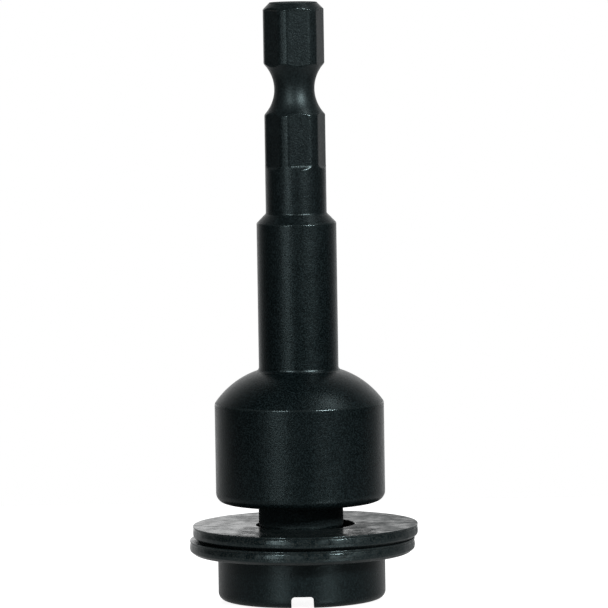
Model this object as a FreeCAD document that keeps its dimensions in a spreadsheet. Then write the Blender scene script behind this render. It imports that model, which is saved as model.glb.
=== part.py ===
import FreeCAD, Part

import math
import os

import Sketcher

# A mandrel that holds a small cut-off wheel. It stands on its screw head, as it is drawn here: +Z up the
# axis, the origin in the middle of the foot, the hex drive end on top. Sizes are millimetres and degrees.

SIZES = (
    # name, value, what it measures
    ("hub_diameter", 19.05, "across the hub"),
    ("hub_height", 11.18, "wheel seat to the rim of the dome"),
    ("seat_edge_radius", 1.1, "rounding below the hub, round the wheel seat"),
    ("dome_height", 3.71, "rim of the dome to the foot of the neck"),
    ("dome_radius", 9.4, "radius of the dome in section"),
    ("dome_edge_radius", 0.2, "broken edge where the dome meets the hub"),
    ("neck_diameter", 8.96, "across the neck"),
    ("neck_length", 16.56, "foot of the neck to its upper edge"),
    ("neck_root_bevel", 0.38, "bevel that eases the corner between dome and neck"),
    ("neck_edge_radius", 0.12, "broken edge on top of the neck"),
    ("shoulder_height", 1.09, "height of the cone from neck to shank"),
    ("shoulder_root_radius", 0.3, "fillet between cone and shank"),
    ("shank_length", 23.65, "top of the shoulder cone to the end"),
    ("end_chamfer", 0.78, "45 degree chamfer on the end"),
    ("across_flats", 6.35, "quarter inch hex drive"),
    ("corner_rise", 0.245, "height of the turned hex corners over the flats"),
    ("flats_length", 18.1, "end of the shank to the end of the full flats"),
    ("runout_radius", 0.6, "radius in which each flat runs out"),
    ("groove_from_end", 9.71, "end of the shank to the middle of the locking groove"),
    ("groove_radius", 4.1, "radius of the locking groove in section"),
    ("groove_root_diameter", 4.52, "across the bottom of the locking groove"),
    ("drive_turn", 39.5, "angle of a flat, about the axis from the X direction"),
    ("pilot_diameter", 9.525, "three eighths inch arbor that carries the wheel"),
    ("pilot_length", 3.0, "wheel seat to the end of the pilot"),
    ("pilot_chamfer", 0.3, "45 degree chamfer on the pilot"),
    ("bore_depth", 12.0, "wheel seat to the full depth of the tapped bore"),
    ("drill_angle", 118.0, "point angle at the end of the bore"),
    ("thread_diameter", 6.35, "quarter inch thread of the screw"),
    ("thread_clearance", 0.05, "between screw and bore, on the radius"),
    ("thread_length", 14.0, "head to the tip of the screw"),
    ("tip_chamfer", 0.7, "45 degree chamfer on the tip"),
    ("head_inset", 0.1, "how far the screw head stays inside the rim of the hub, on the radius"),
    ("head_height", 5.2, "foot to the washer face of the head"),
    ("foot_chamfer", 0.6, "45 degree chamfer round the foot"),
    ("head_chamfer", 0.2, "45 degree chamfer round the washer face of the head"),
    ("slot_width", 2.5, "screwdriver slot"),
    ("slot_depth", 1.33, "depth of the slot from the foot"),
    ("slot_corner_radius", 0.4, "rounding in the bottom corners of the slot"),
    ("slot_turn", 2.0, "angle of the slot, about the axis from the Y direction"),
    ("washer_diameter", 25.4, "across a washer"),
    ("washer_thickness", 1.6, "each washer"),
    ("washer_play", 1.64, "washer hole over the pilot, on the diameter"),
    ("roll_over_width", 0.3, "how far in stamping draws the lower edge"),
    ("roll_over_height", 0.35, "how far up stamping draws the lower edge"),
    ("lip_height", 0.2, "height of the burr lip on the upper edge"),
    ("lip_bevel", 0.12, "bevel above and below the crest of the lip"),
    ("recess_depth", 0.13, "depth of the sheared recess below the lip"),
    ("recess_height", 0.3, "height of the sheared recess"),
    ("lower_slide", 0.14, "share of its play that the lower washer has slid, along X"),
    ("upper_slide", 0.58, "share of its play that the upper washer has slid, along X"),
    ("wheel_gap", 2.6, "upper washer to the wheel seat, as far as the screw is open"),
    ("cut_margin", 1.0, "how far cutting profiles reach past the surface"),
)
FLAT_COUNT = 6

os.makedirs("parts", exist_ok=True)
doc = FreeCAD.newDocument("cut_off_wheel_mandrel")


# Spreadsheet

sheet = doc.addObject("Spreadsheet::Sheet", "Sizes")
for row, (alias, value, note) in enumerate(SIZES, start=1):
    sheet.set(f"A{row}", alias)
    sheet.set(f"B{row}", str(value))
    sheet.set(f"C{row}", note)
    sheet.setAlias(f"B{row}", alias)
doc.recompute()


# Heights and radii that follow from the sizes, as expressions on the sheet

HUB_R = "Sizes.hub_diameter / 2"
NECK_R = "Sizes.neck_diameter / 2"
SHANK_R = "(Sizes.across_flats / 2 + Sizes.corner_rise)"
PILOT_R = "Sizes.pilot_diameter / 2"
BORE_R = "(Sizes.thread_diameter / 2 + Sizes.thread_clearance)"
THREAD_R = "Sizes.thread_diameter / 2"
HEAD_R = "(Sizes.hub_diameter / 2 - Sizes.head_inset)"
WASHER_R = "Sizes.washer_diameter / 2"
HOLE_R = "(Sizes.pilot_diameter + Sizes.washer_play) / 2"

# Above the wheel seat
RIM = "Sizes.hub_height"
NECK_FOOT = f"{RIM} + Sizes.dome_height"
NECK_TOP = f"{NECK_FOOT} + Sizes.neck_length"
SHANK_FOOT = f"{NECK_TOP} + Sizes.shoulder_height"
SHANK_END = f"{SHANK_FOOT} + Sizes.shank_length"

# Above the foot
LOWER_WASHER = "Sizes.head_height"
UPPER_WASHER = f"{LOWER_WASHER} + Sizes.washer_thickness"
WHEEL_SEAT = f"{UPPER_WASHER} + Sizes.washer_thickness + Sizes.wheel_gap"


# Sketches and features

def new_body(name):
    """A body whose label names its file."""
    body = doc.addObject("PartDesign::Body", name)
    body.Label = name
    return body


def origin_feature(body, role):
    """An origin plane or axis of the body."""
    return next(f for f in body.Origin.OriginFeatures if f.Role == role)


def section_sketch(body, name):
    """An empty sketch in the body's section plane: its x is the radius, its y the height."""
    sketch = body.newObject("Sketcher::SketchObject", name)
    sketch.AttachmentSupport = [(origin_feature(body, "XZ_Plane"), "")]
    sketch.MapMode = "FlatFace"
    return sketch


def arc_edge(start, end, radius):
    """An arc between two points that keeps its centre on the left of the way from start to end.

    A negative radius puts the centre on the right. Also gives which end of the arc lies at start.
    """
    chord = end - start
    middle = (start + end) / 2
    side = FreeCAD.Vector(-chord.y, chord.x, 0).normalize()
    reach = math.sqrt(radius**2 - (chord.Length / 2) ** 2)
    centre = middle + side * math.copysign(reach, radius)
    first, last = (start, end) if radius > 0 else (end, start)
    angles = [math.atan2(p.y - centre.y, p.x - centre.x) for p in (first, last)]
    circle = Part.Circle(centre, FreeCAD.Vector(0, 0, 1), abs(radius))
    return Part.ArcOfCircle(circle, *angles), 1 if radius > 0 else 2


def pin_coordinate(sketch, kind, edge, end, expression, name):
    """Bind one coordinate of a sketch point to an expression."""
    value = float(sketch.evalExpression(expression))
    if abs(value) < 1e-9:
        axis = -2 if kind == "DistanceX" else -1
        sketch.addConstraint(Sketcher.Constraint("PointOnObject", edge, end, axis))
        return
    if value > 0:
        constraint = Sketcher.Constraint(kind, -1, 1, edge, end, value)
    else:
        constraint = Sketcher.Constraint(kind, edge, end, -1, 1, -value)
        expression = f"-({expression})"
    index = sketch.addConstraint(constraint)
    sketch.renameConstraint(index, name)
    sketch.setExpression(f"Constraints.{name}", expression)


def outline(sketch, points):
    """Close a loop through points of the form (x, y) or (x, y, radius of the arc that leaves the point)."""
    places = []
    for x, y, *_ in points:
        places.append(FreeCAD.Vector(float(sketch.evalExpression(x)), float(sketch.evalExpression(y)), 0))
    starts = []
    for number, (_, _, *curve) in enumerate(points):
        start, end = places[number], places[(number + 1) % len(places)]
        if curve:
            arc, at_start = arc_edge(start, end, float(sketch.evalExpression(curve[0])))
            sketch.addGeometry(arc, False)
            starts.append(at_start)
        else:
            sketch.addGeometry(Part.LineSegment(start, end), False)
            starts.append(1)
    for number, (x, y, *curve) in enumerate(points):
        before = number - 1 if number else len(points) - 1
        before_end = 3 - starts[before]
        sketch.addConstraint(Sketcher.Constraint("Coincident", before, before_end, number, starts[number]))
        pin_coordinate(sketch, "DistanceX", number, starts[number], x, f"x{number}")
        pin_coordinate(sketch, "DistanceY", number, starts[number], y, f"y{number}")
        if curve:
            radius = abs(float(sketch.evalExpression(curve[0])))
            index = sketch.addConstraint(Sketcher.Constraint("Radius", number, radius))
            sketch.renameConstraint(index, f"radius{number}")
            sketch.setExpression(f"Constraints.radius{number}", f"abs({curve[0]})")
    return sketch


def turned(body, kind, name, points):
    """Turn a section about the body's axis: a Revolution adds it, a Groove cuts it."""
    sketch = outline(section_sketch(body, f"{name}_section"), points)
    feature = body.newObject(f"PartDesign::{kind}", name)
    feature.Profile = sketch
    feature.ReferenceAxis = (sketch, ["V_Axis"])
    feature.Angle = 360.0
    sketch.Visibility = False
    doc.recompute()
    return feature


def dress_edge(body, kind, name, radius, height, size):
    """Put a Fillet or a Chamfer on the round edge of the given radius and height."""
    base = body.Tip
    at_radius = float(base.evalExpression(radius))
    at_height = float(base.evalExpression(height))
    found = []
    for number, edge in enumerate(base.Shape.Edges, start=1):
        if not isinstance(edge.Curve, Part.Circle):
            continue
        off = abs(edge.Curve.Radius - at_radius) + abs(edge.Curve.Center.z - at_height)
        if off < 1e-4:
            found.append(f"Edge{number}")
    if not found:
        raise RuntimeError(f"{name}: no edge of radius {at_radius} at height {at_height}")
    feature = body.newObject(f"PartDesign::{kind}", name)
    feature.Base = (base, found)
    feature.setExpression("Radius" if kind == "Fillet" else "Size", size)
    doc.recompute()


# Mandrel body: hub, neck and hex shank in one turned piece

def mandrel_body():
    """The piece that turns in the chuck. Its own origin is in the middle of the wheel seat."""
    body = new_body("mandrel_body")
    turned(body, "Revolution", "turned_form", [
        ("0", "-Sizes.pilot_length"),
        (f"{PILOT_R} - Sizes.pilot_chamfer", "-Sizes.pilot_length"),
        (PILOT_R, "-Sizes.pilot_length + Sizes.pilot_chamfer"),
        (PILOT_R, "0"),
        (HUB_R, "0"),
        (HUB_R, RIM, "Sizes.dome_radius"),
        (NECK_R, NECK_FOOT),
        (NECK_R, NECK_TOP),
        (SHANK_R, SHANK_FOOT),
        (SHANK_R, f"{SHANK_END} - Sizes.end_chamfer"),
        (f"{SHANK_R} - Sizes.end_chamfer", SHANK_END),
        ("0", SHANK_END),
    ])
    dress_edge(body, "Fillet", "seat_edge", HUB_R, "0", "Sizes.seat_edge_radius")
    dress_edge(body, "Fillet", "dome_edge", HUB_R, RIM, "Sizes.dome_edge_radius")
    dress_edge(body, "Chamfer", "neck_root", NECK_R, NECK_FOOT, "Sizes.neck_root_bevel")
    dress_edge(body, "Fillet", "neck_edge", NECK_R, NECK_TOP, "Sizes.neck_edge_radius")
    dress_edge(body, "Fillet", "shoulder_root", SHANK_R, SHANK_FOOT, "Sizes.shoulder_root_radius")
    hex_flats(body)
    locking_groove(body)
    tapped_bore(body)
    body.setExpression("Placement.Base.z", WHEEL_SEAT)
    turn_about_axis(body, "Sizes.drive_turn")
    return body


def hex_flats(body):
    """One flat cut across the shank, running out in a radius at its lower end, and its copies."""
    flat_x = "Sizes.across_flats / 2"
    outer_x = f"{SHANK_R} + Sizes.cut_margin + Sizes.runout_radius"
    flat_foot = f"{SHANK_END} - Sizes.flats_length"
    above = f"{SHANK_END} + Sizes.cut_margin"
    section = outline(section_sketch(body, "flat_section"), [
        (flat_x, above),
        (flat_x, flat_foot, "Sizes.runout_radius"),
        (f"{flat_x} + Sizes.runout_radius", f"{flat_foot} - Sizes.runout_radius"),
        (outer_x, f"{flat_foot} - Sizes.runout_radius"),
        (outer_x, above),
    ])
    flat = body.newObject("PartDesign::Pocket", "flat")
    flat.Profile = section
    flat.SideType = "Symmetric"
    flat.setExpression("Length", f"2 * ({SHANK_R} + Sizes.cut_margin)")
    section.Visibility = False
    doc.recompute()
    flats = body.newObject("PartDesign::PolarPattern", "hex_flats")
    flats.Originals = [flat]
    flats.Axis = (origin_feature(body, "Z_Axis"), [""])
    flats.Angle = 360.0
    flats.Occurrences = FLAT_COUNT
    body.Tip = flats
    doc.recompute()


def locking_groove(body):
    """The round groove in which a quick-change chuck locks: a circle turned about the axis."""
    sketch = section_sketch(body, "groove_section")
    centre_x = "Sizes.groove_root_diameter / 2 + Sizes.groove_radius"
    centre_y = f"{SHANK_END} - Sizes.groove_from_end"
    centre = FreeCAD.Vector(float(sketch.evalExpression(centre_x)), float(sketch.evalExpression(centre_y)), 0)
    radius = float(sketch.evalExpression("Sizes.groove_radius"))
    sketch.addGeometry(Part.Circle(centre, FreeCAD.Vector(0, 0, 1), radius), False)
    index = sketch.addConstraint(Sketcher.Constraint("Radius", 0, radius))
    sketch.renameConstraint(index, "radius")
    sketch.setExpression("Constraints.radius", "Sizes.groove_radius")
    pin_coordinate(sketch, "DistanceX", 0, 3, centre_x, "x")
    pin_coordinate(sketch, "DistanceY", 0, 3, centre_y, "y")
    groove = body.newObject("PartDesign::Groove", "locking_groove")
    groove.Profile = sketch
    groove.ReferenceAxis = (sketch, ["V_Axis"])
    groove.Angle = 360.0
    sketch.Visibility = False
    doc.recompute()


def tapped_bore(body):
    """The blind bore for the screw, up from the end of the pilot to a drilled point."""
    mouth = "-Sizes.pilot_length - Sizes.cut_margin"
    point = f"Sizes.bore_depth + {BORE_R} / tan(Sizes.drill_angle / 2 * 1 deg)"
    turned(body, "Groove", "tapped_bore", [
        ("0", mouth),
        (BORE_R, mouth),
        (BORE_R, "Sizes.bore_depth"),
        ("0", point),
    ])


def turn_about_axis(body, expression):
    """Turn the body about Z by an angle in degrees."""
    body.Placement.Rotation = FreeCAD.Rotation(FreeCAD.Vector(0, 0, 1), float(body.evalExpression(expression)))
    body.setExpression("Placement.Rotation.Angle", f"{expression} * 1 deg")


# Clamp screw: slotted round head with a plain cylinder for its thread

def clamp_screw():
    """The screw on whose head the mandrel stands. Its own origin is in the middle of the foot."""
    body = new_body("clamp_screw")
    tip = "Sizes.head_height + Sizes.thread_length"
    turned(body, "Revolution", "screw_form", [
        ("0", "0"),
        (f"{HEAD_R} - Sizes.foot_chamfer", "0"),
        (HEAD_R, "Sizes.foot_chamfer"),
        (HEAD_R, "Sizes.head_height - Sizes.head_chamfer"),
        (f"{HEAD_R} - Sizes.head_chamfer", "Sizes.head_height"),
        (THREAD_R, "Sizes.head_height"),
        (THREAD_R, f"{tip} - Sizes.tip_chamfer"),
        (f"{THREAD_R} - Sizes.tip_chamfer", tip),
        ("0", tip),
    ])
    half = "Sizes.slot_width / 2"
    corner_x = f"{half} - Sizes.slot_corner_radius"
    corner_y = "Sizes.slot_depth - Sizes.slot_corner_radius"
    below = "-Sizes.cut_margin"
    section = outline(section_sketch(body, "slot_section"), [
        (half, below),
        (half, corner_y, "Sizes.slot_corner_radius"),
        (corner_x, "Sizes.slot_depth"),
        (f"-({corner_x})", "Sizes.slot_depth", "Sizes.slot_corner_radius"),
        (f"-{half}", corner_y),
        (f"-{half}", below),
    ])
    slot = body.newObject("PartDesign::Pocket", "slot")
    slot.Profile = section
    slot.SideType = "Symmetric"
    slot.setExpression("Length", f"2 * ({HEAD_R} + Sizes.cut_margin)")
    section.Visibility = False
    doc.recompute()
    turn_about_axis(body, "Sizes.slot_turn")
    return body


# Washers: stamped from sheet, with the edge that shearing leaves

def washer(name, height, slide):
    """A flat ring. Seen from its rim: a lip, a sheared recess, the full land and a rolled lower edge."""
    body = new_body(name)
    recess_x = f"{WASHER_R} - Sizes.recess_depth"
    top = "Sizes.washer_thickness"
    crest = f"{top} - Sizes.lip_height / 2"
    recess = f"{top} - Sizes.lip_height"
    land = f"{recess} - Sizes.recess_height"
    turned(body, "Revolution", f"{name}_ring", [
        (HOLE_R, "0"),
        (f"{WASHER_R} - Sizes.roll_over_width", "0"),
        (WASHER_R, "Sizes.roll_over_height"),
        (WASHER_R, land),
        (recess_x, recess),
        (f"{recess_x} + Sizes.lip_bevel", crest),
        (recess_x, top),
        (HOLE_R, top),
    ])
    body.setExpression("Placement.Base.x", f"{slide} * Sizes.washer_play / 2")
    body.setExpression("Placement.Base.z", height)
    return body


def check(bodies):
    """Stop if any object failed, a cut removed nothing or a body isn't one valid solid."""
    failed = [o.Name for o in doc.Objects if "Invalid" in o.State or "Error" in o.State]
    if failed:
        raise RuntimeError(f"objects failed: {failed}")
    for cut in doc.Objects:
        if cut.TypeId in ("PartDesign::Groove", "PartDesign::Pocket", "PartDesign::PolarPattern"):
            if cut.Shape.Volume >= cut.BaseFeature.Shape.Volume - 0.01:
                raise RuntimeError(f"{cut.Name} removes nothing")
    for body in bodies:
        shape = body.Shape
        if shape.isNull() or not shape.isValid() or len(shape.Solids) != 1:
            raise RuntimeError(f"{body.Label} isn't one valid solid")


bodies = [
    mandrel_body(),
    clamp_screw(),
    washer("lower_washer", LOWER_WASHER, "Sizes.lower_slide"),
    washer("upper_washer", UPPER_WASHER, "Sizes.upper_slide"),
]
doc.recompute()
check(bodies)
for body in bodies:
    body.Shape.exportStep(f"parts/{body.Label}.step")
    box = body.Shape.BoundBox
    print(f"{body.Label}: {body.Shape.Volume:.1f} mm3, z {box.ZMin:.3f} to {box.ZMax:.3f}")
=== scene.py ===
import math

import bmesh
import bpy
from bpy.props import FloatProperty, FloatVectorProperty, PointerProperty
from mathutils import Matrix, Vector, noise


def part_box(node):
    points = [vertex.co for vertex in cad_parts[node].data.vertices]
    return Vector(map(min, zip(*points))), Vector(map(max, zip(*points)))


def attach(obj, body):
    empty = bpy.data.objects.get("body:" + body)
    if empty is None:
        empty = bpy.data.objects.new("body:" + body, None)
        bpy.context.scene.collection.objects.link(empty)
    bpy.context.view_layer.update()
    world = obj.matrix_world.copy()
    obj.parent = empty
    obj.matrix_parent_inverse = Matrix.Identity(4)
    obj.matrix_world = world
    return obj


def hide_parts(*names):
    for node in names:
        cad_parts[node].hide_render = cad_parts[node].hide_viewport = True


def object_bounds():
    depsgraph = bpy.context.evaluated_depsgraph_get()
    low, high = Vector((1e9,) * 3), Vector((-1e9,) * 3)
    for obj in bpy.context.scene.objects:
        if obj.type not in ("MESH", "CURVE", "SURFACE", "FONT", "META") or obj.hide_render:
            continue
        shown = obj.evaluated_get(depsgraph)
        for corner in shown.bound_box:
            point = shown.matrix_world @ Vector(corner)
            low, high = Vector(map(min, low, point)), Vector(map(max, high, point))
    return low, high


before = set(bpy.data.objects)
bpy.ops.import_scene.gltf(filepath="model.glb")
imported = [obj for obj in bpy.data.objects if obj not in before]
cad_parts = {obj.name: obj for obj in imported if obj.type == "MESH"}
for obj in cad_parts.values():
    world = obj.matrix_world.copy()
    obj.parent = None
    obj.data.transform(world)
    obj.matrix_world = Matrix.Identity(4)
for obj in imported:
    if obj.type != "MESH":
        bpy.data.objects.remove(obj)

# A black steel mandrel that holds a small cut-off wheel, standing on the slotted head of its clamp screw.
# Lengths are metres in the frame of the CAD model: +Z up the axis, the foot of the screw head at height 0.

bl_info = {
    "name": "Cut-off Wheel Mandrel",
    "version": (1, 0, 0),
    "blender": (4, 5, 0),
    "location": "View3D > Sidebar > Mandrel",
    "description": "Builds a black steel mandrel with its clamp screw and two washers",
    "category": "Mesh",
}

MM = 0.001
CAD_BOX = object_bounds()
PILOT_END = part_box("mandrel_body")[0].z
SHANK_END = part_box("mandrel_body")[1].z
FLAT_COUNT = 6

# Vertices nearer than this are one, and a length below this counts as none
SAME_POINT = 1e-6
NO_LENGTH = 1e-7

# Curvature per metre at which an outer edge starts to wear, and at which it is worn most
WEAR_START, WEAR_FULL = 700.0, 2300.0

# Heights between which painted light makes the oxide colour lighter towards the drive end, and how far it goes
PAINTED_LIGHT_FROM, PAINTED_LIGHT_TO, PAINTED_LIGHT_SHARE = 30 * MM, 62 * MM, 0.5

# Bands round the axis that are rougher: middle, half height and fade in millimetres, and how much
PILOT_BAND = (9.85, 1.2, 1.4, 0.6)
GROOVE_BAND = (57.5, 1.4, 2.6, 0.1)
END_BAND = (67.2, 0.02, 0.08, 0.7)

# Kinds of steel: gloss, how patchy it is, how much rougher it gets along X, and the depths of its bumps
TURNED_STEEL = {
    "ior": 1.33, "patchy": 0.03, "slant": 0.0, "grain_depth": 24e-6, "mark_depth": 1.2e-6, "cloud_depth": 0.0,
}
WASHER_STEEL = {
    "ior": 1.4, "patchy": 0.17, "slant": 0.11, "grain_depth": 5e-6, "mark_depth": 0.0, "cloud_depth": 50e-6,
}
GLOSS_TINT = (0.74, 0.97, 1.0, 1.0)

# One turn of the thread in section: share of the pitch and share of the depth at each point
THREAD_FORM = (
    (0.0, 1), (0.02, 1), (0.105, 1), (0.125, 0.985), (0.15, 0.92), (0.28, 0.5), (0.41, 0.08), (0.4375, 0.015),
    (0.47, 0), (0.6555, 0), (0.6875, 0.015), (0.715, 0.08), (0.845, 0.5), (0.975, 0.92),
)

# Depth of the thread as a share of the pitch
THREAD_DEPTH = 0.541

# The washers: new piece, CAD node, and where in the noise its torn edge starts
WASHERS = (("washer_low", "lower_washer", 3.1), ("washer_high", "upper_washer", 11.7))

# The lamps: setting of the power, azimuth to the right of the camera, elevation, width and height
LAMPS = {
    "lamp_left": ("left_power", -30, 5, 0.14, 0.20),
    "lamp_front": ("front_power", -27, 27, 0.07, 0.07),
    "lamp_right": ("right_power", 38, 25, 0.11, 0.11),
    "lamp_side": ("side_power", 75, 60, 0.16, 0.16),
}
LAMP_DISTANCE = 0.62

# Two opposite corners of the floor
FLOOR_NEAR_LEFT, FLOOR_FAR_RIGHT = (-0.09, -0.04), (0.09, 0.09)


# Settings

def length(name, description, millimetres):
    """A length setting whose default is given in millimetres."""
    return FloatProperty(
        name=name, description=description, default=millimetres * MM, min=0.0, precision=6,
        unit="LENGTH", subtype="DISTANCE",
    )


def angle(name, description, degrees):
    """An angle setting whose default is given in degrees."""
    return FloatProperty(
        name=name, description=description, default=math.radians(degrees), unit="ROTATION", subtype="ANGLE",
    )


def share(name, description, default):
    """A setting from 0 to 1."""
    return FloatProperty(
        name=name, description=description, default=default, min=0.0, max=1.0, subtype="FACTOR",
    )


def lamp_power(name, description, watts):
    """The setting of a lamp's power."""
    return FloatProperty(name=name, description=description, default=watts, min=0.0, unit="POWER")


def colour(name, description, default):
    """A colour setting."""
    return FloatVectorProperty(
        name=name, description=description, default=default, size=3, min=0.0, max=1.0, subtype="COLOR",
    )


class MandrelSizes(bpy.types.PropertyGroup):
    hub_diameter: length("Hub", "Across the hub", 19.05)
    hub_height: length("Hub height", "Wheel seat to the rim of the dome", 11.18)
    seat_edge_radius: length("Seat edge", "Rounding below the hub, round the wheel seat", 1.1)
    dome_height: length("Dome height", "Rim of the dome to the foot of the neck", 3.71)
    dome_radius: length("Dome radius", "Radius of the dome in section", 9.4)
    rim_radius: length("Rim edge", "Rounding where the dome meets the hub", 0.35)
    neck_diameter: length("Neck", "Across the neck", 8.96)
    neck_length: length("Neck length", "Foot of the neck to its upper edge", 16.56)
    neck_root_radius: length("Neck root", "Fillet between dome and neck", 0.5)
    neck_edge_radius: length("Neck edge", "Rounding on top of the neck", 0.18)
    cone_height: length("Cone height", "Neck to shank", 1.09)
    cone_root_radius: length("Cone root", "Fillet between cone and shank", 0.35)
    shank_length: length("Shank length", "Top of the cone to the end", 23.65)
    end_chamfer: length("End chamfer", "Chamfer on the drive end", 0.78)
    across_flats: length("Across flats", "Quarter inch hex drive", 6.35)
    corner_rise: length("Corner rise", "Height of the turned hex corners over the flats", 0.245)
    flats_length: length("Flats length", "Drive end to the end of the full flats", 18.1)
    runout_radius: length("Flat run-out", "Radius in which each flat runs out", 0.6)
    groove_from_end: length("Groove from end", "Drive end to the middle of the locking groove", 9.71)
    groove_radius: length("Groove radius", "Radius of the locking groove in section", 4.1)
    groove_root_diameter: length("Groove root", "Across the bottom of the locking groove", 4.52)
    drive_turn: angle("Drive turn", "Angle of a flat, about the axis from the X direction", 39.5)
    pilot_diameter: length("Pilot", "Arbor that carries the wheel", 9.525)
    pilot_length: length("Pilot length", "Wheel seat to the end of the pilot", 3.0)
    pilot_chamfer: length("Pilot chamfer", "Chamfer on the pilot", 0.3)
    bore_diameter: length("Bore", "Across the bore for the screw", 6.45)
    bore_depth: length("Bore depth", "Wheel seat to the full depth of the bore", 12.0)
    edge_break: length("Edge break", "How soft the edges of flats and groove are", 0.09)


class ScrewSizes(bpy.types.PropertyGroup):
    head_diameter: length("Head", "Across the screw head", 18.85)
    head_height: length("Head height", "Foot to the washer face of the head", 5.2)
    foot_radius: length("Foot edge", "Rounding round the foot", 0.85)
    head_edge_radius: length("Head edge", "Rounding round the washer face", 0.22)
    slot_width: length("Slot width", "Across the screwdriver slot", 2.5)
    slot_depth: length("Slot depth", "Foot to the bottom of the slot", 1.33)
    slot_corner_radius: length("Slot corners", "Rounding in the bottom corners of the slot", 0.4)
    slot_edge_break: length("Slot edge break", "Bevel along the edges of the slot", 0.1)
    slot_turn: angle("Slot turn", "Angle of the slot, about the axis from the Y direction", 0.3)
    thread_diameter: length("Thread", "Across the crests of the thread", 6.35)
    thread_pitch: length("Pitch", "Crest to crest of the thread", 25.4 / 28)
    thread_length: length("Thread length", "Washer face to the tip of the screw", 14.0)
    tip_chamfer: length("Tip chamfer", "Chamfer on the tip", 0.7)
    relief_length: length("Relief length", "Plain neck between head and thread", 0.7)


class WasherSizes(bpy.types.PropertyGroup):
    thickness: length("Thickness", "Each washer", 1.6)
    hole_diameter: length("Hole", "Across the hole", 11.165)
    roll_over_width: length("Roll-over width", "How far in stamping draws the lower edge", 0.6)
    roll_over_height: length("Roll-over height", "How far up stamping draws the lower edge", 0.42)
    lip_height: length("Lip height", "Height of the burr lip on the upper edge", 0.16)
    recess_depth: length("Recess depth", "Depth of the sheared recess below the lip", 0.1)
    recess_height: length("Recess height", "Height of the sheared recess", 0.2)
    tear: length("Tear", "How uneven the sheared edge is", 0.03)


class FinishSettings(bpy.types.PropertyGroup):
    oxide: colour("Oxide", "Black oxide on the turned steel", (0.0000, 0.0006, 0.0008))
    oxide_thin: colour("Thin oxide", "Where the oxide is thinner", (0.0040, 0.0070, 0.0078))
    # This colour is also the painted light that lightens the oxide towards the drive end, besides the real wear
    # on edges
    worn: colour("Worn oxide", "Where it is rubbed thin, at edges and drive end", (0.0085, 0.0115, 0.0120))
    sheet: colour("Sheet", "Black oxide on the washers", (0.0012, 0.0030, 0.0036))
    sheet_thin: colour("Thin sheet oxide", "Lighter blotches on the washers", (0.0100, 0.0120, 0.0115))
    roughness: share("Roughness", "Roughness of the turned steel", 0.32)
    screw_roughness: share("Screw roughness", "Roughness of the screw head", 0.31)
    sheet_roughness: share("Sheet roughness", "Roughness of the washers", 0.3)


class StageSettings(bpy.types.PropertyGroup):
    camera_distance: length("Camera distance", "Camera to the axis", 700.0)
    camera_height: length("Camera height", "Camera above the foot", 95.0)
    camera_offset: length("Camera offset", "Camera to the right of the axis", 0.71)
    aim_height: length("Aim height", "Where the line of sight meets the axis", 33.27)
    roll: angle("Roll", "Roll of the camera", -0.89)
    lens: FloatProperty(
        name="Lens", description="Focal length for a 36 mm sensor", default=370.3, min=1.0,
        unit="CAMERA",
    )
    left_power: lamp_power("Left lamp", "Power of the low lamp at the left", 0.56)
    right_power: lamp_power("Right lamp", "Power of the high lamp at the right", 5.4)
    front_power: lamp_power("Front lamp", "Power of the small high lamp at the left", 1.8)
    side_power: lamp_power("Side lamp", "Power of the lamp high at the right-hand side", 0.5)
    ambient: share("Ambient", "Even light of the room on matt surfaces", 0.45)
    dim: share("Dim side", "What gloss reflects of the dim side of the room", 0.02)
    card_glow: share("Card glow", "How white the floor shows in full shadow", 0.88)
    card_gloss: share("Card in gloss", "How white the floor shows in gloss", 0.18)
    card_grey: share("Card", "Lightness of the floor under the lamps", 0.18)


# Sections

def arc_between(start, end, radius, count):
    """Points after start, up to and with end, on an arc that bulges to the right of the way."""
    (r0, z0), (r1, z1) = start, end
    chord = math.hypot(r1 - r0, z1 - z0)
    reach = math.sqrt(radius**2 - chord**2 / 4)
    centre_r = (r0 + r1) / 2 - (z1 - z0) / chord * reach
    centre_z = (z0 + z1) / 2 + (r1 - r0) / chord * reach
    first = math.atan2(z0 - centre_z, r0 - centre_r)
    sweep = 2 * math.asin(chord / 2 / radius)
    points = []
    for step in range(1, count + 1):
        at = first + sweep * step / count
        points.append((centre_r + radius * math.cos(at), centre_z + radius * math.sin(at)))
    return points


def rounded(corners, support=0.05 * MM, steps=7):
    """A section line of (radius, height) through corners of the form (radius, height, rounding).

    Each rounding gets an arc, and each straight run gets a point a little way in from both ends, which
    keeps it straight under smooth shading.
    """
    line = []
    for number, (r, z, *rounding) in enumerate(corners):
        here = Vector((r, z))
        if not rounding or not rounding[0] or number in (0, len(corners) - 1):
            line.append((r, z))
            continue
        before = (Vector(corners[number - 1][:2]) - here).normalized()
        after = (Vector(corners[number + 1][:2]) - here).normalized()
        between = before.angle(after)
        setback = rounding[0] / math.tan(between / 2)
        centre = here + (before + after).normalized() * (rounding[0] / math.sin(between / 2))
        first = here + before * setback - centre
        turn = math.pi - between
        way = 1 if before.x * after.y - before.y * after.x < 0 else -1
        line.append(tuple(here + before * (setback + support)))
        for step in range(steps + 1):
            at = way * turn * step / steps
            spoke = Vector((
                first.x * math.cos(at) - first.y * math.sin(at),
                first.x * math.sin(at) + first.y * math.cos(at),
            ))
            line.append(tuple(centre + spoke))
        line.append(tuple(here + after * (setback + support)))
    return line


def spread(low, high, step):
    """Heights from low to high, not further apart than step."""
    count = max(1, math.ceil(abs(high - low) / step))
    return [low + (high - low) * number / count for number in range(count + 1)]


def even_turn(count):
    """Angles all round the axis."""
    return [2 * math.pi * number / count for number in range(count)]


def soft_min(a, b, softness):
    """The smaller of two radii, eased where they are nearly equal."""
    near = softness - abs(a - b)
    if near <= 0:
        return min(a, b)
    return min(a, b) - near * near / (4 * softness)


# Meshes

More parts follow.
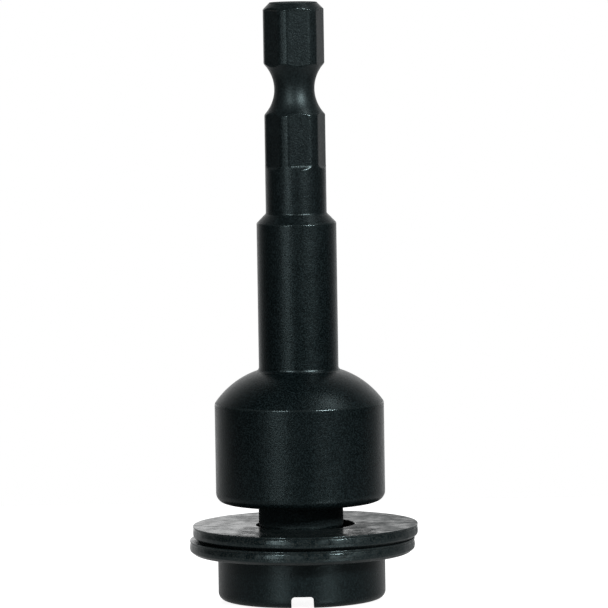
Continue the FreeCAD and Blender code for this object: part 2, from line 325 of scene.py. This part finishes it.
def turned_mesh(name, section, turns, shape=None):
    """Turn a section line about the axis, with a ring of vertices at each point that is off the axis.

    The material lies to the left of the line. shape(angle, radius, height) may move each vertex.
    """
    vertices, faces, rings = [], [], []
    count = len(turns)
    for radius, height in section:
        if radius < NO_LENGTH:
            rings.append([len(vertices)] * count)
            vertices.append((0.0, 0.0, height))
            continue
        rings.append(list(range(len(vertices), len(vertices) + count)))
        for turn in turns:
            r, z = shape(turn, radius, height) if shape else (radius, height)
            vertices.append((r * math.cos(turn), r * math.sin(turn), z))
    for low, high in zip(rings, rings[1:]):
        for here in range(count):
            there = (here + 1) % count
            corners = [low[here], low[there], high[there], high[here]]
            faces.append(list(dict.fromkeys(corners)))
    mesh = bpy.data.meshes.new(name)
    mesh.from_pydata(vertices, [], [face for face in faces if len(face) > 2])
    mesh.validate()
    return mesh


def mark_wear(mesh):
    """Store on each vertex how sharply the surface turns outwards there, as edge_wear from 0 to 1.

    Of the edges round a vertex the second sharpest counts, so that the last vertex of a flat stays clean.
    """
    normals = [Vector(n.vector) for n in mesh.vertex_normals]
    bends = [[0.0, 0.0] for _ in mesh.vertices]
    for edge in mesh.edges:
        a, b = edge.vertices
        way = mesh.vertices[b].co - mesh.vertices[a].co
        bend = (normals[b] - normals[a]).dot(way) / max(way.length_squared, NO_LENGTH**2)
        bends[a].append(bend)
        bends[b].append(bend)
    shares = [(sorted(around)[-2] - WEAR_START) / (WEAR_FULL - WEAR_START) for around in bends]
    wear = mesh.attributes.new("edge_wear", "FLOAT", "POINT")
    wear.data.foreach_set("value", [min(1.0, max(0.0, worn)) for worn in shares])


def new_piece(mesh, body, material, node=None, shift=0.0):
    """Put a mesh in the scene as a piece that rides on a body and may stand for a CAD node."""
    mesh.shade_smooth()
    mark_wear(mesh)
    mesh.materials.clear()
    mesh.materials.append(material)
    piece = bpy.data.objects.new(mesh.name, mesh)
    bpy.context.scene.collection.objects.link(piece)
    piece.location.x = shift
    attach(piece, body)
    if node:
        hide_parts(node)
    return piece


# Materials

def new_material(name):
    """A material with a node tree that holds only its output and a Principled shader."""
    material = bpy.data.materials.new(name)
    material.use_nodes = True
    tree = material.node_tree
    tree.nodes.clear()
    output = tree.nodes.new("ShaderNodeOutputMaterial")
    shader = tree.nodes.new("ShaderNodeBsdfPrincipled")
    tree.links.new(shader.outputs["BSDF"], output.inputs["Surface"])
    return material, tree, shader


def noise_node(tree, vector, scale, detail=3.0, roughness=0.55):
    """A noise texture's value. scale is per metre."""
    node = tree.nodes.new("ShaderNodeTexNoise")
    node.inputs["Scale"].default_value = scale
    node.inputs["Detail"].default_value = detail
    node.inputs["Roughness"].default_value = roughness
    tree.links.new(vector, node.inputs["Vector"])
    return node.outputs["Fac"]


def mapped(tree, value, low, high, to_low, to_high):
    """A value carried from one range to another, with its ends held."""
    node = tree.nodes.new("ShaderNodeMapRange")
    node.inputs["From Min"].default_value = low
    node.inputs["From Max"].default_value = high
    node.inputs["To Min"].default_value = to_low
    node.inputs["To Max"].default_value = to_high
    tree.links.new(value, node.inputs["Value"])
    return node.outputs["Result"]


def combined(tree, operation, a, b=0.0):
    """Two values put together by a Math node. b may be a number, and some operations need none."""
    node = tree.nodes.new("ShaderNodeMath")
    node.operation = operation
    tree.links.new(a, node.inputs[0])
    if isinstance(b, (int, float)):
        node.inputs[1].default_value = b
    else:
        tree.links.new(b, node.inputs[1])
    return node.outputs["Value"]


def mixed(tree, factor, a, b):
    """A mix of two colours, each a socket or three numbers."""
    node = tree.nodes.new("ShaderNodeMix")
    node.data_type = "RGBA"
    tree.links.new(factor, node.inputs["Factor"])
    for key, value in (("A", a), ("B", b)):
        socket = next(s for s in node.inputs if s.identifier == f"{key}_Color")
        if isinstance(value, bpy.types.NodeSocket):
            tree.links.new(value, socket)
        else:
            socket.default_value = (*value, 1.0)
    return next(s for s in node.outputs if s.identifier == "Result_Color")


def by_gloss(tree, path):
    """1 for a ray that comes by way of gloss or glass, else 0. path is a Light Path node."""
    return combined(tree, "MAXIMUM", path.outputs["Is Glossy Ray"], path.outputs["Is Transmission Ray"])


def stretched(tree, vector, scale):
    """Coordinates scaled per axis."""
    node = tree.nodes.new("ShaderNodeMapping")
    node.inputs["Scale"].default_value = scale
    tree.links.new(vector, node.inputs["Vector"])
    return node.outputs["Vector"]


def steel_material(name, dark, light, worn, roughness, steel):
    """Steel with a satin black oxide: mottled, with a fine grain, turning marks round Z and worn edges.

    The oxide colour is also painted lighter towards the drive end, as painted light, and it is rougher on the
    pilot, in the groove and on the end face. steel is one of the kinds given at the top.
    """
    material, tree, shader = new_material(name)
    place = tree.nodes.new("ShaderNodeTexCoord").outputs["Object"]
    axes = tree.nodes.new("ShaderNodeSeparateXYZ")
    tree.links.new(place, axes.inputs["Vector"])
    edges = tree.nodes.new("ShaderNodeAttribute")
    edges.attribute_name = "edge_wear"
    wear = edges.outputs["Fac"]
    cloud = noise_node(tree, place, 650.0, 4.0, 0.6)
    speck = noise_node(tree, place, 6000.0, 2.0, 0.6)
    grain = noise_node(tree, place, 5600.0, 2.0, 0.6)
    marks = noise_node(tree, stretched(tree, place, (140.0, 140.0, 9000.0)), 1.0, 2.0)

    oxide = mixed(tree, mapped(tree, speck, 0.47, 0.6, 0.0, 1.0), dark, light)
    # Painted light: with height the oxide colour is mixed towards the worn colour, lighter towards the drive
    # end; on outer edges the same mix is real wear
    wear_and_painted_light = mapped(tree, axes.outputs["Z"], PAINTED_LIGHT_FROM, PAINTED_LIGHT_TO, 0.0, PAINTED_LIGHT_SHARE)
    wear_and_painted_light = combined(tree, "MAXIMUM", wear_and_painted_light, combined(tree, "MULTIPLY", wear, 0.8))
    wear_and_painted_light = combined(tree, "MULTIPLY", wear_and_painted_light, mapped(tree, speck, 0.34, 0.62, 0.4, 1.0))
    tree.links.new(mixed(tree, wear_and_painted_light, oxide, worn), shader.inputs["Base Color"])

    patchy, slant = steel["patchy"], steel["slant"]
    rough = mapped(tree, cloud, 0.3, 0.7, roughness - patchy, roughness + patchy)
    rough = combined(tree, "ADD", rough, mapped(tree, grain, 0.3, 0.7, -0.03, 0.03))
    rough = combined(tree, "SUBTRACT", rough, combined(tree, "MULTIPLY", wear, 0.16))
    for middle, half, fade, extra in (PILOT_BAND, GROOVE_BAND, END_BAND):
        off = combined(tree, "ABSOLUTE", combined(tree, "SUBTRACT", axes.outputs["Z"], middle * MM))
        rough = combined(tree, "ADD", rough, mapped(tree, off, half * MM, fade * MM, extra, 0.0))
    rough = combined(tree, "ADD", rough, mapped(tree, axes.outputs["X"], -12 * MM, 12 * MM, -slant, slant))
    tree.links.new(rough, shader.inputs["Roughness"])

    grains = combined(tree, "MULTIPLY", grain, steel["grain_depth"])
    height = combined(tree, "ADD", grains, combined(tree, "MULTIPLY", marks, steel["mark_depth"]))
    height = combined(tree, "ADD", height, combined(tree, "MULTIPLY", cloud, steel["cloud_depth"]))
    bump = tree.nodes.new("ShaderNodeBump")
    bump.inputs["Strength"].default_value = 1.0
    bump.inputs["Distance"].default_value = 1.0
    tree.links.new(height, bump.inputs["Height"])
    tree.links.new(bump.outputs["Normal"], shader.inputs["Normal"])

    shader.inputs["IOR"].default_value = steel["ior"]
    shader.inputs["Specular Tint"].default_value = GLOSS_TINT
    shader.inputs["Metallic"].default_value = 0.0
    return material


def material_for(kind):
    """The steel of a kind of piece, made once."""
    found = bpy.data.materials.get(kind)
    if found:
        return found
    finish = bpy.context.scene.mandrel_finish
    if kind == "washer_steel_black":
        return steel_material(
            kind, finish.sheet, finish.sheet_thin, finish.worn, finish.sheet_roughness, WASHER_STEEL,
        )
    roughness = finish.screw_roughness if kind == "screw_steel_black" else finish.roughness
    return steel_material(kind, finish.oxide, finish.oxide_thin, finish.worn, roughness, TURNED_STEEL)


# Operators

class MANDREL_OT_body(bpy.types.Operator):
    """Turn the mandrel body: pilot, hub, dome, neck and hex drive shank with its locking groove"""
    bl_idname = "mandrel.body"
    bl_label = "Mandrel Body"

    def execute(self, context):
        s = context.scene.mandrel_body
        hub, neck, pilot = s.hub_diameter / 2, s.neck_diameter / 2, s.pilot_diameter / 2
        shank = s.across_flats / 2 + s.corner_rise
        bore = s.bore_diameter / 2
        seat = PILOT_END + s.pilot_length
        rim = seat + s.hub_height
        neck_foot = rim + s.dome_height
        neck_top = neck_foot + s.neck_length
        shank_foot = neck_top + s.cone_height
        shank_end = shank_foot + s.shank_length
        if abs(shank_end - SHANK_END) > 0.01 * MM:
            raise RuntimeError("the sizes don't reach the end of the CAD shank")
        dome = arc_between((hub, rim), (neck, neck_foot), s.dome_radius, 22)
        corners = [
            (0, seat + s.bore_depth + bore * 0.6),
            (bore, seat + s.bore_depth, 0.1 * MM),
            (bore, PILOT_END + 0.25 * MM, 0.05 * MM),
            (bore + 0.25 * MM, PILOT_END, 0.05 * MM),
            (pilot - s.pilot_chamfer, PILOT_END, 0.06 * MM),
            (pilot, PILOT_END + s.pilot_chamfer, 0.06 * MM),
            (pilot, seat, 0.1 * MM),
            (hub, seat, s.seat_edge_radius),
            (hub, rim, s.rim_radius),
            *dome[:-2],
            (neck, neck_foot, s.neck_root_radius),
            (neck, neck_top, s.neck_edge_radius),
            (shank, shank_foot, s.cone_root_radius),
        ]
        flat_foot = shank_end - s.flats_length
        groove = shank_end - s.groove_from_end
        chamfer_foot = shank_end - s.end_chamfer
        # Spacing of the rows, and how far from its middle the lips of the groove begin and end
        fine, coarse = 0.045 * MM, 0.12 * MM
        lip_in, lip_out = 2.5 * MM, 3.1 * MM
        rows = [
            *spread(flat_foot - s.runout_radius, flat_foot + 0.25 * MM, fine),
            *spread(groove - lip_out, groove - lip_in, fine),
            *spread(groove - 2.4 * MM, groove + 2.4 * MM, coarse),
            *spread(groove + lip_in, groove + lip_out, fine),
            *spread(chamfer_foot - 0.35 * MM, chamfer_foot - 0.06 * MM, fine),
        ]
        end = rounded([
            (shank, chamfer_foot - 0.05 * MM),
            (shank, chamfer_foot, 0.06 * MM),
            (shank - s.end_chamfer, shank_end, 0.08 * MM),
            (0, shank_end),
        ], support=0.04 * MM, steps=5)
        section = rounded([*corners, (shank, shank_foot + 1.0 * MM)])
        section += [(shank, height) for height in rows]
        section += self.with_rows(end[1:], 0.06 * MM)
        mesh = turned_mesh("mandrel_turned", section, self.columns(s), self.drive_shape(s, shank_end))
        new_piece(mesh, "mandrel", material_for("turned_steel_black"), "mandrel_body")
        return {"FINISHED"}

    def columns(self, s):
        """Angles of the columns, close together where a flat meets a turned corner."""
        edge = math.degrees(math.acos(s.across_flats / (s.across_flats + 2 * s.corner_rise)))
        near = [-1.3, -0.8, -0.4, 0.0, 0.4, 0.9, 1.7, 2.9, 4.4, 6.2]
        half = [2.5, 5.0, 7.5, 10.0, 12.5, 15.0, 17.0, 18.5, 19.7] + [edge + step for step in near]
        sixth = [-30.0] + [-at for at in reversed(half)] + [0.0] + half
        turn = math.degrees(s.drive_turn)
        return [math.radians(turn + 60.0 * flat + at) for flat in range(FLAT_COUNT) for at in sixth]

    def with_rows(self, line, step):
        """The section line with rows added where it changes radius slowly."""
        filled = [line[0]]
        for point in line[1:]:
            before = Vector(filled[-1])
            way = Vector(point) - before
            if way.y > NO_LENGTH:
                count = max(1, math.ceil(way.length / step))
                filled += [tuple(before + way * number / count) for number in range(1, count)]
            filled.append(point)
        return filled

    def drive_shape(self, s, shank_end):
        """Cut the flats and the locking groove out of the round shank."""
        apothem = s.across_flats / 2
        flat_foot = shank_end - s.flats_length
        groove = shank_end - s.groove_from_end
        centre = s.groove_root_diameter / 2 + s.groove_radius
        sixth = 2 * math.pi / FLAT_COUNT

        def shape(turn, radius, height):
            if height < flat_foot - s.runout_radius:
                return radius, height
            below = max(0.0, flat_foot - height)
            lift = s.runout_radius - math.sqrt(max(0.0, s.runout_radius**2 - below**2))
            off = (turn - s.drive_turn + sixth / 2) % sixth - sixth / 2
            cut = soft_min(radius, (apothem + lift) / math.cos(off), s.edge_break)
            away = abs(height - groove)
            if away < s.groove_radius:
                cut = soft_min(cut, centre - math.sqrt(s.groove_radius**2 - away**2), s.edge_break)
            return cut, height

        return shape


class MANDREL_OT_screw(bpy.types.Operator):
    """Make the clamp screw: its slotted head and its helical thread"""
    bl_idname = "mandrel.screw"
    bl_label = "Clamp Screw"

    def execute(self, context):
        s = context.scene.mandrel_screw
        radius = s.head_diameter / 2
        foot = rounded([(0, 0), (radius, 0, s.foot_radius), (radius, s.slot_depth)])
        top = rounded([(radius, s.slot_depth), (radius, s.head_height, s.head_edge_radius), (0, s.head_height)])
        sides = [(radius, s.slot_depth + up * MM) for up in (0.08, 0.16, 0.3, 0.55, 1.0, 1.7, 2.6)]
        section = foot + sides + top[1:]
        head = self.slotted(turned_mesh("screw_head", section, even_turn(256)), self.slot_cutter(s))
        material = material_for("screw_steel_black")
        new_piece(head, "screw", material, "clamp_screw")
        new_piece(self.thread(s), "screw", material)
        return {"FINISHED"}

    def slot_cutter(self, s):
        """A bar with the section of the slot, rounded in its corners and flared at the foot."""
        half, depth, flare = s.slot_width / 2, s.slot_depth, s.slot_edge_break
        below = -1.0 * MM
        side = rounded([
            (half + flare - below, below),
            (half + flare, 0),
            (half, flare),
            (half, depth, s.slot_corner_radius),
            (0, depth),
        ], steps=8)
        outline = side[:-1] + [(-x, z) for x, z in reversed(side[:-1])]
        reach = s.head_diameter
        vertices = [(x, y, z) for y in (-reach, reach) for x, z in outline]
        count = len(outline)
        faces = [list(range(count)), list(range(2 * count - 1, count - 1, -1))]
        for here in range(count):
            there = (here + 1) % count
            faces.append([there, here, count + here, count + there])
        mesh = bpy.data.meshes.new("slot_cutter")
        mesh.from_pydata(vertices, [], faces)
        mesh.transform(Matrix.Rotation(s.slot_turn, 4, "Z"))
        work = bmesh.new()
        work.from_mesh(mesh)
        bmesh.ops.recalc_face_normals(work, faces=work.faces)
        work.to_mesh(mesh)
        work.free()
        return mesh

    def slotted(self, head, cutter):
        """The head with the slot cut and the new edges broken by a small bevel."""
        scene = bpy.context.scene
        tools = [bpy.data.objects.new(mesh.name, mesh) for mesh in (head, cutter)]
        for tool in tools:
            scene.collection.objects.link(tool)
        cut = tools[0].modifiers.new("slot", "BOOLEAN")
        cut.object = tools[1]
        cut.solver = "EXACT"
        bevel = tools[0].modifiers.new("edges", "BEVEL")
        bevel.width = scene.mandrel_screw.slot_edge_break
        bevel.segments = 3
        bevel.limit_method = "ANGLE"
        bevel.angle_limit = math.radians(38)
        depsgraph = bpy.context.evaluated_depsgraph_get()
        result = bpy.data.meshes.new_from_object(tools[0].evaluated_get(depsgraph))
        if len(result.polygons) <= len(head.polygons):
            raise RuntimeError("the slot was not cut")
        for tool in tools:
            bpy.data.objects.remove(tool)
        bpy.data.meshes.remove(head)
        bpy.data.meshes.remove(cutter)
        result.name = "screw_head"
        return result

    def thread(self, s):
        """A right-hand thread whose rows of vertices follow the helix."""
        pitch, crest = s.thread_pitch, s.thread_diameter / 2
        root = crest - THREAD_DEPTH * pitch
        start = s.head_height - 0.3 * MM
        full = s.head_height + s.relief_length
        tip = s.head_height + s.thread_length
        columns = 96
        turns = math.ceil((tip - start) / pitch) + 2
        rows = turns * len(THREAD_FORM)
        vertices, faces = [], []
        for row in range(rows):
            whole, number = divmod(row, len(THREAD_FORM))
            share_of_pitch, rise = THREAD_FORM[number]
            for column in range(columns):
                height = start + pitch * (whole - 1 + share_of_pitch + column / columns)
                height = min(max(height, start), tip)
                radius = root + rise * (crest - root)
                radius = min(radius, root + max(0.0, height - full), crest - s.tip_chamfer + tip - height)
                turn = 2 * math.pi * column / columns
                vertices.append((radius * math.cos(turn), radius * math.sin(turn), height))
        for row in range(rows - 1):
            for column in range(columns):
                ahead = row if column < columns - 1 else row + len(THREAD_FORM)
                if ahead + 1 >= rows:
                    continue
                there = (column + 1) % columns
                faces.append([
                    row * columns + column, ahead * columns + there,
                    (ahead + 1) * columns + there, (row + 1) * columns + column,
                ])
        mesh = bpy.data.meshes.new("screw_thread")
        mesh.from_pydata(vertices, [], faces)
        work = bmesh.new()
        work.from_mesh(mesh)
        bmesh.ops.remove_doubles(work, verts=work.verts, dist=SAME_POINT)
        bmesh.ops.dissolve_degenerate(work, edges=work.edges, dist=SAME_POINT)
        bmesh.ops.delete(work, geom=[v for v in work.verts if not v.link_faces], context="VERTS")
        bmesh.ops.holes_fill(work, edges=[e for e in work.edges if e.is_boundary], sides=0)
        bmesh.ops.recalc_face_normals(work, faces=work.faces)
        work.to_mesh(mesh)
        work.free()
        return mesh


class MANDREL_OT_washers(bpy.types.Operator):
    """Make the two stamped washers, each with its sheared and slightly torn edge"""
    bl_idname = "mandrel.washers"
    bl_label = "Washers"

    def execute(self, context):
        s = context.scene.mandrel_washers
        for name, node, seed in WASHERS:
            low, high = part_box(node)
            centre = (low.x + high.x) / 2
            radius = (high.x - low.x) / 2
            section = self.section(s, low.z, radius)
            mesh = turned_mesh(name, section, even_turn(320), self.torn(s, radius, low.z, seed))
            new_piece(mesh, "washers", material_for("washer_steel_black"), node, shift=centre)
        return {"FINISHED"}

    def section(self, s, foot, radius):
        """The closed section of a washer, from the hole round its lower edge and back to the hole."""
        hole, top = s.hole_diameter / 2, foot + s.thickness
        lip = top - s.lip_height
        corners = [
            (hole, foot + s.thickness / 2),
            (hole, foot, 0.15 * MM),
            (radius - s.roll_over_width, foot, 0.5 * MM),
            (radius - 0.05 * MM, foot + s.roll_over_height, 0.35 * MM),
            (radius, foot + 0.47 * s.thickness, 1.0 * MM),
            (radius - 0.05 * MM, lip - s.recess_height, 0.1 * MM),
            (radius - s.recess_depth - 0.02 * MM, lip - s.recess_height / 2, 0.04 * MM),
            (radius - 0.02 * MM, lip, 0.05 * MM),
            (radius - 0.02 * MM, top, 0.05 * MM),
            (hole, top, 0.08 * MM),
            (hole, foot + s.thickness / 2),
        ]
        return rounded(corners, support=0.015 * MM, steps=6)

    def torn(self, s, radius, foot, seed):
        """Make the sheared edge a little uneven."""
        def shape(turn, r, height):
            near_edge = max(0.0, 1 - (radius - r) / (0.4 * MM))
            up = (height - foot) / s.thickness
            if not near_edge or up < 0.3:
                return r, height
            spot = Vector((math.cos(turn) * 9, math.sin(turn) * 9, seed + up * 2.4))
            fine = Vector((math.cos(turn) * 46, math.sin(turn) * 46, seed + up * 7.0))
            pull = 0.6 * noise.noise(spot) + 0.4 * noise.noise(fine)
            depth = s.tear * near_edge * (0.5 + abs(pull) + pull) * (0.6 if up > 0.9 else 1.0)
            return min(radius, r - depth * 0.6), height

        return shape


class MANDREL_OT_stage(bpy.types.Operator):
    """Set up the pale floor, the lamps, the room and the camera"""
    bl_idname = "mandrel.stage"
    bl_label = "Stage"

    def execute(self, context):
        s = context.scene.mandrel_stage
        context.scene.view_settings.view_transform = "Standard"
        self.floor(s)
        for name, (setting, *placing) in LAMPS.items():
            self.lamp(name, getattr(s, setting), *placing)
        self.room(context.scene, s)
        self.camera(context.scene, s)
        return {"FINISHED"}

    def floor(self, s):
        """A sheet of white card that shows plain white, with the mandrel's soft shadow.

        It stays under the screw head, which slides with the washers, and shows from above only.
        """
        (left, near), (right, far) = FLOOR_NEAR_LEFT, FLOOR_FAR_RIGHT
        corners = [(left, near, 0), (right, near, 0), (right, far, 0), (left, far, 0)]
        mesh = bpy.data.meshes.new("floor")
        mesh.from_pydata(corners, [], [(0, 1, 2, 3)])
        card = bpy.data.objects.new("floor", mesh)
        bpy.context.scene.collection.objects.link(card)
        material, tree, shader = new_material("white_card")
        shader.inputs["Base Color"].default_value = (s.card_grey, s.card_grey, s.card_grey, 1.0)
        shader.inputs["Roughness"].default_value = 0.3
        shader.inputs["Emission Color"].default_value = (1.0, 1.0, 1.0, 1.0)
        path = tree.nodes.new("ShaderNodeLightPath")
        gloss = combined(tree, "MULTIPLY", by_gloss(tree, path), s.card_gloss)
        seen = combined(tree, "MULTIPLY", path.outputs["Is Camera Ray"], s.card_glow)
        tree.links.new(combined(tree, "ADD", seen, gloss), shader.inputs["Emission Strength"])
        sides = tree.nodes.new("ShaderNodeMixShader")
        tree.links.new(tree.nodes.new("ShaderNodeNewGeometry").outputs["Backfacing"], sides.inputs["Fac"])
        tree.links.new(shader.outputs["BSDF"], sides.inputs[1])
        tree.links.new(tree.nodes.new("ShaderNodeBsdfTransparent").outputs["BSDF"], sides.inputs[2])
        tree.links.new(sides.outputs["Shader"], tree.nodes["Material Output"].inputs["Surface"])
        mesh.materials.append(material)
        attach(card, "washers")

    def lamp(self, name, power, azimuth, elevation, width, height):
        """An area lamp turned to the middle of the mandrel. The camera doesn't see it, but gloss does."""
        light = bpy.data.lights.new(name, "AREA")
        light.shape = "RECTANGLE"
        light.size, light.size_y = width, height
        light.energy = power
        lamp = bpy.data.objects.new(name, light)
        bpy.context.scene.collection.objects.link(lamp)
        a, e = math.radians(azimuth), math.radians(elevation)
        middle = (CAD_BOX[0] + CAD_BOX[1]) / 2
        away = Vector((math.sin(a) * math.cos(e), -math.cos(a) * math.cos(e), math.sin(e)))
        lamp.location = middle + away * LAMP_DISTANCE
        lamp.rotation_mode = "QUATERNION"
        lamp.rotation_quaternion = (-away).to_track_quat("-Z", "Y")
        lamp.visible_camera = False

    def room(self, scene, s):
        """White wherever it is seen, and dim on the camera's side for what gloss reflects."""
        world = bpy.data.worlds.new("room")
        scene.world = world
        world.use_nodes = True
        tree = world.node_tree
        tree.nodes.clear()
        output = tree.nodes.new("ShaderNodeOutputWorld")
        background = tree.nodes.new("ShaderNodeBackground")
        background.inputs["Color"].default_value = (1.0, 1.0, 1.0, 1.0)
        tree.links.new(background.outputs["Background"], output.inputs["Surface"])
        way = tree.nodes.new("ShaderNodeSeparateXYZ")
        tree.links.new(tree.nodes.new("ShaderNodeTexCoord").outputs["Generated"], way.inputs["Vector"])
        behind = combined(tree, "POWER", mapped(tree, way.outputs["Y"], 0.0, 1.0, 0.0, 1.0), 2.6)
        behind = mapped(tree, behind, 0.0, 1.0, s.dim, 1.0)
        path = tree.nodes.new("ShaderNodeLightPath")
        shown = combined(tree, "MULTIPLY", by_gloss(tree, path), behind)
        matt = combined(tree, "MULTIPLY", path.outputs["Is Diffuse Ray"], s.ambient)
        strength = combined(tree, "ADD", combined(tree, "ADD", shown, matt), path.outputs["Is Camera Ray"])
        tree.links.new(combined(tree, "MINIMUM", strength, 1.0), background.inputs["Strength"])

    def camera(self, scene, s):
        """The camera, in front of the mandrel and a little above its foot."""
        data = bpy.data.cameras.new("camera")
        data.lens = s.lens
        data.sensor_width = 36.0
        data.clip_start, data.clip_end = 0.01, 10.0
        camera = bpy.data.objects.new("camera", data)
        scene.collection.objects.link(camera)
        camera.location = (s.camera_offset, -s.camera_distance, s.camera_height)
        aim = Vector((s.camera_offset, 0.0, s.aim_height)) - camera.location
        camera.rotation_mode = "QUATERNION"
        roll = Matrix.Rotation(s.roll, 3, "Z").to_quaternion()
        camera.rotation_quaternion = aim.to_track_quat("-Z", "Y") @ roll
        scene.camera = camera


class MANDREL_PT_panel(bpy.types.Panel):
    """Lists the settings and the steps that build the mandrel"""
    bl_idname = "MANDREL_PT_panel"
    bl_label = "Cut-off Wheel Mandrel"
    bl_space_type = "VIEW_3D"
    bl_region_type = "UI"
    bl_category = "Mandrel"

    def draw(self, context):
        for group, operator in (
            ("mandrel_body", MANDREL_OT_body), ("mandrel_screw", MANDREL_OT_screw),
            ("mandrel_washers", MANDREL_OT_washers), ("mandrel_finish", None),
            ("mandrel_stage", MANDREL_OT_stage),
        ):
            box = self.layout.box()
            settings = getattr(context.scene, group)
            for name in type(settings).__annotations__:
                box.prop(settings, name)
            if operator:
                box.operator(operator.bl_idname)


SETTINGS = (
    ("mandrel_body", MandrelSizes), ("mandrel_screw", ScrewSizes), ("mandrel_washers", WasherSizes),
    ("mandrel_finish", FinishSettings), ("mandrel_stage", StageSettings),
)
OPERATORS = (MANDREL_OT_body, MANDREL_OT_screw, MANDREL_OT_washers, MANDREL_OT_stage)


def register():
    for name, group in SETTINGS:
        bpy.utils.register_class(group)
        setattr(bpy.types.Scene, name, PointerProperty(type=group))
    for operator in OPERATORS:
        bpy.utils.register_class(operator)
    bpy.utils.register_class(MANDREL_PT_panel)


def unregister():
    bpy.utils.unregister_class(MANDREL_PT_panel)
    for operator in reversed(OPERATORS):
        bpy.utils.unregister_class(operator)
    for name, group in reversed(SETTINGS):
        delattr(bpy.types.Scene, name)
        bpy.utils.unregister_class(group)


def main():
    register()
    bpy.ops.mandrel.body()
    bpy.ops.mandrel.screw()
    bpy.ops.mandrel.washers()
    bpy.ops.mandrel.stage()


if __name__ == "__main__":
    main()
